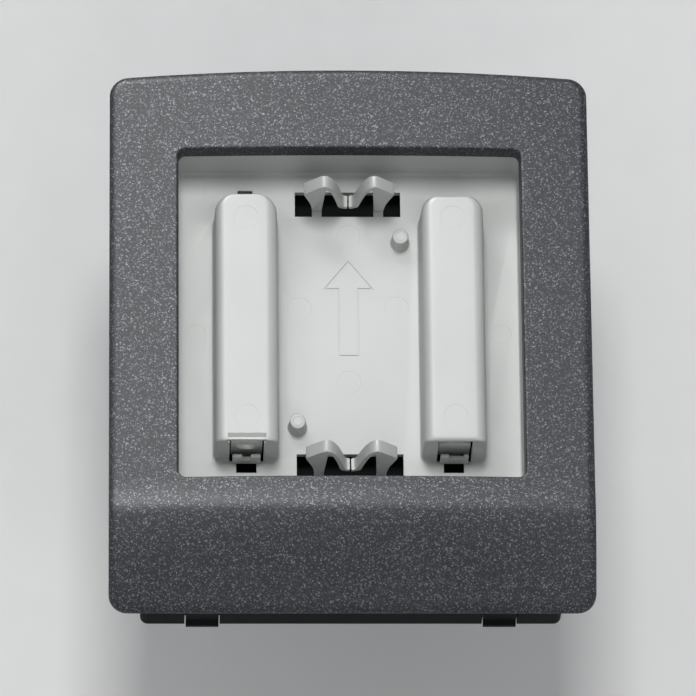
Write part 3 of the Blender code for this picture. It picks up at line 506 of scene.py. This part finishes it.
def humpSolid(x, endRound):
    # long edges rounded by humpEdge, a small fillet at the floor, and ends rounded by endRound
    t = tray
    high = t["humpTop"] - t["floor"]
    straight = high - t["humpEdge"]
    levels = [(-t["thick"] / 2, -0.75, 0.0), (-0.1, -0.7, 0.0)]
    for step in range(1, 5):
        turn = math.radians(90 * step / 4)
        levels.append((0.6 * (1 - math.cos(turn)), -0.6 * (1 - math.sin(turn)), 0.0))
    levels.append((straight, 0.3, 0.25))
    for step in range(1, 13):
        turn = math.radians(90 * step / 12)
        endShare = min(1.0, (t["humpEdge"] * (1 - math.sin(turn))) / endRound) if endRound else 1.0
        endInset = endRound * (1 - math.sqrt(max(0.0, 1 - (1 - endShare) ** 2))) if endRound else 0.0
        rise = straight + t["humpEdge"] * math.sin(turn)
        levels.append((rise, 0.3 + (t["humpEdge"] - 0.3) * (1 - math.cos(turn)), 0.25 + endInset))
    loops = []
    for rise, sideInset, endInset in levels:
        end = endInset if rise > 0.6 else sideInset
        corner = max(4.4 - 0.55 * max(sideInset, 0.0), 1.4)
        half, reach = t["humpHalf"] - sideInset, t["humpZ"] - end
        points = outline(half, -reach, reach, 0.9, corner, 0.0, 8, (4, 4), x)
        loops.append(level(points, t["floor"] + rise))
    return lofted("hump", loops)


def baySolid(x):
    t = tray
    rear = t["floor"] - t["thick"] - 1.0
    points = [(x + t["bayRadius"], rear)]
    for step in range(25):
        turn = math.pi * step / 24
        across, out = t["bayRadius"] * math.cos(turn), t["bayRadius"] * math.sin(turn)
        points.append((x + across, t["cellDepth"] + out))
    points.append((x - t["bayRadius"], rear))
    return prism("bay", points, (-t["bayHalf"], t["bayHalf"]))


def arrowGroove(grow, depths):
    # the arrow's outline, point up, as a loop of (x, z)
    half, shaft, tip, neck, foot = 6.1, 2.55, 20.6, 12.9, -5.8
    slant = math.hypot(half, tip - neck) / (tip - neck)
    wing = grow * (slant + 1.3)
    points = [
        (0.0, tip + grow * math.hypot(half, tip - neck) / half),
        (-half - wing, neck - grow), (-shaft - grow, neck - grow), (-shaft - grow, foot - grow),
        (shaft + grow, foot - grow), (shaft + grow, neck - grow), (half + wing, neck - grow),
    ]
    return [level(points, depth) for depth in depths]


def pegProfile(radius, high):
    # a filleted foot, a rounded edge and a fine ring in the top
    taper, edge, ring = 0.25, 0.45, high - 0.12
    rounded = []
    for angle in (0, 22.5, 45, 67.5, 90):
        turn = math.radians(angle)
        rounded.append((radius - taper - edge * (1 - math.cos(turn)), high - edge + edge * math.sin(turn)))
    top = [(radius - 0.95, high), (radius - 1.02, ring), (radius - 1.12, ring), (radius - 1.2, high)]
    foot = [
        (0.0, -1.0), (radius + 0.35, -1.0), (radius + 0.35, -0.05), (radius + 0.12, 0.12), (radius, 0.4)
    ]
    return foot + rounded + top + [(0.0, high)]


def makeTray():
    t = tray
    rear = t["floor"] - t["thick"]
    inX, inZ = cover["openX"] + t["outsideLip"], cover["openZ"] + t["outsideLip"]
    wide = t["wallWide"]

    def ring(grow, radius):
        return outline(inX + grow, -inZ - grow, inZ + grow, radius, radius, 0.0, 8, (24, 24))

    fillet = t["floorFillet"]
    loops = [level(ring(-fillet, t["cornerIn"]), t["floor"])]
    for step in range(1, 6):
        turn = math.radians(90 * step / 5)
        depth = t["floor"] + fillet * (1 - math.cos(turn))
        loops.append(level(ring(-fillet * (1 - math.sin(turn)), t["cornerIn"]), depth))
    gap = cover["lipDepth"] + 0.3
    loops.append(onFront(ring(0.0, t["cornerIn"]), gap + 0.2))
    loops.append(onFront(ring(0.2, t["cornerIn"] + 0.2), gap))
    loops.append(onFront(ring(wide - 0.2, t["cornerIn"] + wide - 0.2), gap))
    loops.append(onFront(ring(wide, t["cornerIn"] + wide), gap + 0.2))
    loops.append(level(ring(wide, t["cornerIn"] + wide), rear + 0.4))
    loops.append(level(ring(wide - 0.4, t["cornerIn"] + wide - 0.4), rear))
    piece = lofted("trayMoulding", loops, angle=28)

    # housings, then their bays, windows and tongues
    carve(piece, [humpSolid(-t["cellX"], 0.45), humpSolid(t["cellX"], 1.0)], "UNION", 28)
    carve(piece, [baySolid(-t["cellX"]), baySolid(t["cellX"])], angle=28)
    through = (rear - 1.0, t["floor"] + 1.0)
    tongueOut = -t["humpZ"] - t["tongueStep"]
    windows, gaps, slots, tongues, pockets = [], [], [], [], []
    for side in (-1, 1):
        x = side * t["cellX"]
        top = t["humpTop"] - (1.1 if side > 0 else 1.8)
        half = t["windowWide"] / 2
        zs = (-t["humpZ"] - 1, -t["bayHalf"] + 0.5)
        windows.append(block("window", (x - half, x + half), (t["floor"] - 0.3, top), zs))
        zs = (tongueOut + 0.7, -t["bayHalf"] + 0.6)
        gaps.append(block("gap", (x - half + 0.01, x + half - 0.01), through, zs))
        half = t["slotWide"] / 2
        zs = (tongueOut - t["slotLong"], tongueOut + 0.9)
        slots.append(block("slot", (x - half, x + half), through, zs))
        for end in (-1, 1):
            zs = (end * (t["bayHalf"] - 0.001), end * (t["bayHalf"] - 1.2))
            pockets.append(block("pocket", (x - 4.4, x + 4.4), (rear - 1.0, t["humpTop"] - 1.1), zs))
        half = t["tongueWide"] / 2
        depths = (t["floor"] - t["tongueRoot"], t["floor"] + t["tongueHigh"])
        zs = (tongueOut, tongueOut + t["tongueThick"])
        tongues.append(block("tongue", (x - half, x + half), depths, zs, t["tongueSoft"]))
    carve(piece, pockets, angle=28)
    carve(piece, windows, angle=28)
    carve(piece, gaps, angle=28)
    carve(piece, slots, angle=28)
    carve(piece, tongues, "UNION", 28)

    # steps, notches and slots in the housings and the floor
    x, top, end, tongueTop = t["cellX"], t["humpTop"], -t["humpZ"], t["floor"] + t["tongueHigh"]
    ramp = (
        (top + 1, end - 1), (top + 1, end + 2.34), (top + 0.05, end + 2.34), (top - 0.8, end + 1.36),
        (top - 0.8, end + 0.75), (top - 1.9, end + 0.75), (top - 1.9, end - 1),
    )
    cuts = [
        lofted("c", [[place(side, depth, z) for depth, z in ramp] for side in (-x - 4.95, -x + 4.95)]),
        block("c", (-x - 1.15, -x + 1.15), (tongueTop - 2.2, tongueTop + 1), (end - 2.0, end - 0.1)),
        block("c", (x - 1.55, x + 2.45), (tongueTop - 1.6, tongueTop + 1), (end - 2.0, end - 0.1)),
        block("c", (x - 4.6, x + 4.6), (top - 2.4, top + 1), (t["humpZ"] - 1.25, t["humpZ"] + 1)),
        block("c", (-x - 1.95, -x + 1.95), through, (t["humpZ"] + 2.8, t["humpZ"] + 6.0)),
    ]
    roots = []
    for side in (-1, 1):
        low = side * t["holeZ"] - t["holeHigh"] / 2
        cuts.append(block("h", (-t["holeHalf"], t["holeHalf"]), through, (low, low + t["holeHigh"])))
        for hand in (-1, 1):
            xs = (hand * t["rootIn"], hand * t["rootOut"])
            zs = (low - 0.5, low + t["seat"] + t["clipThick"])
            roots.append(block("r", xs, (rear + 0.05, t["floor"] - 0.05), zs))
    carve(piece, cuts, angle=28)
    pegs, ears, earHoles = [], [], []
    for side in (-1, 1):
        start = place(side * t["pegX"], t["floor"], side * t["pegZ"])
        pegs.append(turned("peg", pegProfile(t["pegRadius"], t["pegHigh"]), start, (0, -1, 0)))
    for side in (-1, 1):
        for z in (-t["earZ"], t["earZ"]):
            points = [(side * (inX + wide / 2), z - t["earRadius"])]
            for step in range(13):
                turn = math.radians(-90 + 15 * step)
                out, up = t["earRadius"] * math.cos(turn), t["earRadius"] * math.sin(turn)
                points.append((side * (t["earX"] + out), z + up))
            points.append((side * (inX + wide / 2), z + t["earRadius"]))
            faces = [level(points, t["earDepth"]), level(points, t["earDepth"] + t["earThick"])]
            ears.append(lofted("ear", faces))
            start = place(side * t["earX"], t["earDepth"] - 1, z)
            earHoles.append(turned("o", ((0, 0), (1.4, 0), (1.4, 4.0), (0, 4.0)), start, (0, -1, 0), 24))
    carve(piece, roots + pegs + ears, "UNION", 28)
    carve(piece, earHoles, angle=28)

    # the engraved arrow and the round ejector marks
    data = bmesh.new()
    outer = arrowGroove(t["grooveHalf"], (t["floor"] - t["grooveDeep"], t["floor"] + 0.5))
    inner = arrowGroove(-t["grooveHalf"], (t["floor"] + 0.5, t["floor"] - t["grooveDeep"]))
    skin(data, outer + inner, wrap=True)
    carve(piece, [toObject("groove", data)], angle=28)
    marks = [(mx, t["floor"], mz, radius) for mx, mz, radius in t["floorMarks"]]
    for side in (-1, 1):
        marks += [(side * t["cellX"], t["humpTop"], z, t["humpMarkRadius"]) for z in t["humpMarks"]]
    discs = []
    for mx, depth, mz, radius in marks:
        rim = radius + 0.02
        profile = ((0, -0.05), (radius - 0.05, -0.05), (rim, 0.02), (rim, 0.4), (0, 0.4))
        discs.append(turned("m", profile, place(mx, depth, mz), (0, -1, 0), 48))
    carve(piece, discs, angle=28)
    return dress(piece, trayPlastic, "front_unit", "tray_plastic", "battery_tray")


makeTray()
print("tray made")


# half a spring clip

clip = {
    "crestX": 6.3, "reach": 17.9, "valley": 3.7, "barbX": 11.8, "barbReach": 12.2,
    "band": 0.8, "valleyThick": 1.4, "armIn": 6.85, "armOut": 9.35, "thick": 3.2, "slit": 0.19, "soft": 0.22,
    "wave": (  # share of crestX, and share of the fall from crest to valley
        (0.98, 0.01), (0.86, 0.05), (0.74, 0.13), (0.62, 0.25), (0.51, 0.41), (0.40, 0.60), (0.30, 0.80),
        (0.23, 0.94), (0.15, 1.0),
    ),
}


def clipPoints(hand):
    # section of half a clip: root, barb, crest, and the band down to the middle of the valley
    c, floor = clip, tray["floor"]
    crest, fall = floor + c["reach"], c["reach"] - c["valley"]
    front = smoothLine([(c["crestX"] * s, crest - fall * d) for s, d in c["wave"]], 4)
    front.append((c["slit"], crest - fall))
    last = len(front) - 1
    rear = []
    for number in range(12, last - 1):
        x, depth = front[number]
        before, after = front[number - 1], front[number + 1]
        along = Vector((after[0] - before[0], after[1] - before[1])).normalized()
        thick = c["band"] + (c["valleyThick"] - c["band"]) * number / last
        rear.append((x - along.y * thick, depth + along.x * thick))
    rear += [(1.15, crest - fall - c["valleyThick"]), (c["slit"], crest - fall - c["valleyThick"])]
    outside = smoothLine([
        (c["armOut"], floor + 0.3), (c["armOut"] + 0.15, floor + 2.2), (c["armOut"] + 0.55, floor + 5.4),
        (c["armOut"] + 1.45, floor + 8.8), (c["barbX"] - 0.15, floor + c["barbReach"] - 0.6),
    ], 3)
    nose = [
        (c["barbX"], floor + c["barbReach"] - 0.1), (c["barbX"] + 0.02, floor + c["barbReach"] + 0.25),
        (c["barbX"] - 0.25, floor + c["barbReach"] + 0.65),
    ]
    peak = c["crestX"]
    slope = [(peak + 1.7, crest - 1.05), (peak + 0.9, crest - 0.32), (peak + 0.35, crest - 0.06)]
    ramp = smoothLine(slope, 3)
    fork = [
        (peak - 0.42, crest - 2.3), (peak - 0.22, crest - 2.9), (c["armIn"] - 0.62, crest - 3.9),
        (c["armIn"], floor + 0.3),
    ]
    points = outside + nose + ramp + front + rear[::-1] + fork
    return [(hand * x, depth) for x, depth in points]


def makeClips():
    for side, levelName in ((1, "upper"), (-1, "lower")):
        low = side * tray["holeZ"] - tray["holeHigh"] / 2 + tray["seat"]
        for hand, handName in ((-1, "left"), (1, "right")):
            node = "%s_clip_%s" % (levelName, handName)
            piece = prism(node + "Half", clipPoints(hand), (low, low + clip["thick"]), clip["soft"], 40)
            dress(piece, trayPlastic, node, "tray_plastic", node)


makeClips()
print("clips made")


# a coil spring is a wire swept along a spiral by Geometry Nodes

spring = {
    "wire": 0.7, "baseRadius": 3.3, "tipRadius": 2.5, "turns": 5.0, "length": 12.1, "gap": 0.3,
    "plateZ": 32.575, "plate": 0.4, "push": 2.05,
}


def treeSocket(tree, label, kind, default):
    made = tree.interface.new_socket(label, in_out="INPUT", socket_type=kind)
    if default is not None:
        made.default_value = default
    return made.identifier


def coilTree():
    tree = bpy.data.node_groups.new("coilSpring", "GeometryNodeTree")
    tree.interface.new_socket("Geometry", in_out="OUTPUT", socket_type="NodeSocketGeometry")
    sockets = {
        "Turns": treeSocket(tree, "Turns", "NodeSocketFloat", 5.0),
        "Base Radius": treeSocket(tree, "Base Radius", "NodeSocketFloat", 0.003),
        "Tip Radius": treeSocket(tree, "Tip Radius", "NodeSocketFloat", 0.0025),
        "Length": treeSocket(tree, "Length", "NodeSocketFloat", 0.011),
        "Wire": treeSocket(tree, "Wire", "NodeSocketFloat", 0.00035),
        "Foot": treeSocket(tree, "Foot", "NodeSocketVector", None),
        "Material": treeSocket(tree, "Material", "NodeSocketMaterial", None),
    }
    given, out = tree.nodes.new("NodeGroupInput"), tree.nodes.new("NodeGroupOutput")
    spiral = tree.nodes.new("GeometryNodeCurveSpiral")
    spiral.inputs["Resolution"].default_value = 28
    spiral.inputs["Reverse"].default_value = False
    for label, socket in (
        ("Rotations", "Turns"), ("Start Radius", "Base Radius"),
        ("End Radius", "Tip Radius"), ("Height", "Length"),
    ):
        tree.links.new(given.outputs[socket], spiral.inputs[label])
    shift = tree.nodes.new("GeometryNodeSetPosition")
    tree.links.new(spiral.outputs["Curve"], shift.inputs["Geometry"])
    tree.links.new(given.outputs["Foot"], shift.inputs["Offset"])
    section = tree.nodes.new("GeometryNodeCurvePrimitiveCircle")
    section.inputs["Resolution"].default_value = 12
    tree.links.new(given.outputs["Wire"], section.inputs["Radius"])
    sweep = tree.nodes.new("GeometryNodeCurveToMesh")
    sweep.inputs["Fill Caps"].default_value = True
    tree.links.new(shift.outputs["Geometry"], sweep.inputs["Curve"])
    tree.links.new(section.outputs["Curve"], sweep.inputs["Profile Curve"])
    realise = tree.nodes.new("GeometryNodeRealizeInstances")
    tree.links.new(sweep.outputs["Mesh"], realise.inputs["Geometry"])
    paint = tree.nodes.new("GeometryNodeSetMaterial")
    tree.links.new(realise.outputs["Geometry"], paint.inputs["Geometry"])
    tree.links.new(given.outputs["Material"], paint.inputs["Material"])
    tree.links.new(paint.outputs["Geometry"], out.inputs["Geometry"])
    return tree, sockets


def makeSprings():
    s = spring
    tree, sockets = coilTree()
    for hand, x, side in (("left", -tray["cellX"], 1), ("right", tray["cellX"], -1)):
        node = hand + "_cell_spring"
        mesh = bpy.data.meshes.new(node + "Coil")
        piece = bpy.data.objects.new(node + "Coil", mesh)
        bpy.context.scene.collection.objects.link(piece)
        coil = piece.modifiers.new("coil", "NODES")
        coil.node_group = tree
        foot = side * (s["plateZ"] - s["plate"] - s["gap"] - s["wire"] / 2)
        values = {
            "Turns": s["turns"],
            "Base Radius": s["baseRadius"] * toMetres,
            "Tip Radius": s["tipRadius"] * toMetres,
            "Length": -side * (s["length"] - 2 * s["gap"] - s["wire"]) * toMetres,
            "Wire": s["wire"] / 2 * toMetres,
            "Foot": tuple(place(x, tray["cellDepth"], foot)), "Material": contactMetal,
        }
        for label, value in values.items():
            coil[sockets[label]] = value
        flatten(piece, 60)
        data = bmesh.new()
        data.from_mesh(piece.data)
        bmesh.ops.recalc_face_normals(data, faces=data.faces[:])
        data.to_mesh(piece.data)
        data.free()
        dress(piece, contactMetal, "front_unit", "contact_metal", node)
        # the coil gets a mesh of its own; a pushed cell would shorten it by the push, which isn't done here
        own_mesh(piece)


makeSprings()
print("springs made")


# the contact plates with a button

contact = {"buttonRadius": 3.0, "buttonHigh": 1.0, "thick": 0.4, "wide": 8.2}


def makeButtonPlate(hand, x, side):
    # a plate with a pressed round button, dished on its outer side
    c = contact
    node = hand + "_button_plate"
    outer, inner = side * spring["plateZ"], side * (spring["plateZ"] - c["thick"])
    depths = (tray["floor"] - tray["thick"] + 0.4, tray["humpTop"] - 1.45)
    piece = block(node + "Sheet", (x - c["wide"] / 2, x + c["wide"] / 2), depths, (outer, inner), 0.06)
    toward = (0, 0, -side)
    r, h, sheet = c["buttonRadius"], c["buttonHigh"], c["thick"]
    start = place(x, tray["cellDepth"], side * (spring["plateZ"] - c["thick"] / 2))
    rise = h + sheet / 2
    bulge = ((0, 0), (r, 0), (r - 0.12, rise * 0.4), (r - 0.45, rise * 0.85), (r - 0.8, rise), (0, rise))
    cup = turned("cup", bulge, start, toward)
    carve(piece, [cup], "UNION")
    dish = turned("d", ((0, -1), (r - 0.25, -1), (r - 0.25, -0.15), (r - 0.5, 0.1), (r - 0.85, rise * 0.55),
                        (r - 1.2, rise - sheet), (0, rise - sheet - 0.12)), start, toward)
    carve(piece, [dish])
    rear = tray["floor"] - tray["thick"]
    zs = (outer - side * 0.01, inner + side * 0.01)
    tail = block("tail", (x - 1.8, x + 1.8), (rear - 1.3, rear + 1.0), zs)
    carve(piece, [tail], "UNION")
    return dress(piece, contactMetal, "front_unit", "contact_metal", node)


makeButtonPlate("left", -tray["cellX"], -1)
makeButtonPlate("right", tray["cellX"], 1)
print("contacts made")


# finishes for the pieces that keep their own solids

for node in ("wall_base", "left_latch", "right_latch"):
    repaint(node, basePlastic)
for node in ("left_spring_plate", "right_spring_plate", "link_strap"):
    repaint(node, contactMetal)
for height in ("upper", "lower"):
    for hand in ("left", "right"):
        repaint("tray_screw_%s_%s" % (height, hand), screwMetal)
for hand in ("left", "right"):
    repaint(hand + "_cell_can", cellMetal)
    repaint(hand + "_cell_sleeve", cellLabel)
    repaint(hand + "_cell_seal", sealPlastic)


# the wall, floor, lights and camera aren't part of the unit

def makeStage():
    # the wall lets light and sight through from behind, so that the back of the unit can be seen too
    room = {"wallY": 0.085, "floorZ": -1.1, "halfWide": 3.0, "wallTop": 2.2, "near": -3.5, "far": 3.0}
    wallMaterial = finishMaterial(
        "wallPaint", (0.585, 0.585, 0.58), (0.615, 0.615, 0.61), (0.8, 0.9),
        {"fine": 160.0, "slow": 3.0, "bump": 0.03, "height": 0.0004},
    )
    tree = wallMaterial.node_tree
    facing, clear = tree.nodes.new("ShaderNodeNewGeometry"), tree.nodes.new("ShaderNodeBsdfTransparent")
    either = tree.nodes.new("ShaderNodeMixShader")
    tree.links.new(facing.outputs["Backfacing"], either.inputs["Fac"])
    tree.links.new(tree.nodes["Principled BSDF"].outputs["BSDF"], either.inputs[1])
    tree.links.new(clear.outputs["BSDF"], either.inputs[2])
    tree.links.new(either.outputs["Shader"], tree.nodes["Material Output"].inputs["Surface"])
    floorMaterial = finishMaterial(
        "floorPaint", (0.66, 0.66, 0.655), (0.70, 0.70, 0.695), (0.7, 0.85),
        {"fine": 200.0, "slow": 2.0, "bump": 0.03, "height": 0.0004},
    )
    x, y, z = room["halfWide"], room["wallY"], room["floorZ"]
    top, near, far = room["wallTop"], room["near"], room["far"]
    for name, finish, corners in (
        ("wall", wallMaterial, ((-x, y, z), (x, y, z), (x, y, top), (-x, y, top))),
        ("floor", floorMaterial, ((-x, near, z), (x, near, z), (x, far, z), (-x, far, z))),
    ):
        mesh = bpy.data.meshes.new(name)
        mesh.from_pydata([Vector(corner) for corner in corners], [], [(0, 1, 2, 3)])
        mesh.materials.append(finish)
        made = bpy.data.objects.new(name, mesh)
        bpy.context.scene.collection.objects.link(made)


def addLight(name, energy, size, where, aim):
    lamp = bpy.data.lights.new(name, "AREA")
    lamp.shape = "RECTANGLE"
    lamp.size, lamp.size_y = size
    lamp.energy = energy
    made = bpy.data.objects.new(name, lamp)
    made.location = where
    made.rotation_euler = (Vector(aim) - Vector(where)).to_track_quat("-Z", "Y").to_euler()
    bpy.context.scene.collection.objects.link(made)
    return made


def makeCamera():
    # angles in degrees, distance and aim in metres, focal length in millimetres
    shot = {"azimuth": -1.923, "elevation": -20.567, "roll": -0.595, "distance": 1.8251, "lens": 362.35,
            "shiftX": -0.0026, "shiftY": -0.03545, "aim": (0.0, -0.018, 0.0)}
    azimuth, elevation, roll = (math.radians(shot[key]) for key in ("azimuth", "elevation", "roll"))
    back = Vector((
        math.sin(azimuth) * math.cos(elevation), -math.cos(azimuth) * math.cos(elevation), math.sin(elevation)
    ))
    across = Vector((math.cos(azimuth), math.sin(azimuth), 0.0))
    upward = back.cross(across)
    right = across * math.cos(roll) + upward * math.sin(roll)
    up = upward * math.cos(roll) - across * math.sin(roll)
    lens = bpy.data.cameras.new("camera")
    lens.sensor_width = 36.0
    lens.lens = shot["lens"]
    lens.shift_x, lens.shift_y = shot["shiftX"], shot["shiftY"]
    lens.clip_start, lens.clip_end = 0.05, 20.0
    made = bpy.data.objects.new("camera", lens)
    turn = Matrix((right, up, back)).transposed()
    made.matrix_world = Matrix.Translation(Vector(shot["aim"]) + back * shot["distance"]) @ turn.to_4x4()
    bpy.context.scene.collection.objects.link(made)
    bpy.context.scene.camera = made


makeStage()
lights = {
    "fill": {
        "energy": 5.5, "size": (1.3, 0.6), "at": (0.1, -1.2, -0.95),
        "diffuse": True, "glossy": False,
    },
    "back": {
        "energy": 14.0, "size": (0.9, 0.6), "at": (0.45, 1.35, 0.75),
        "diffuse": True, "glossy": True,
    },
    "key": {
        "energy": 17.3, "size": (0.36, 0.46), "at": (-0.05, -1.62, 0.36),
        "diffuse": True, "glossy": True,
    },
    "top": {
        "energy": 88.0, "size": (0.9, 0.35), "at": (-0.55, -1.25, 1.22),
        "diffuse": False, "glossy": True,
    },
}
for label, given in lights.items():
    lamp = addLight(label, given["energy"], given["size"], given["at"], (0.0, 0.0, 0.0))
    lamp.visible_diffuse, lamp.visible_glossy = given["diffuse"], given["glossy"]
world = bpy.data.worlds.new("studio")
world.use_nodes = True
world.node_tree.nodes["Background"].inputs["Color"].default_value = (0.93, 0.95, 1.0, 1.0)
world.node_tree.nodes["Background"].inputs["Strength"].default_value = 0.44
bpy.context.scene.world = world
bpy.context.scene.view_settings.view_transform = "Standard"
makeCamera()
print("stage, lights and camera made")
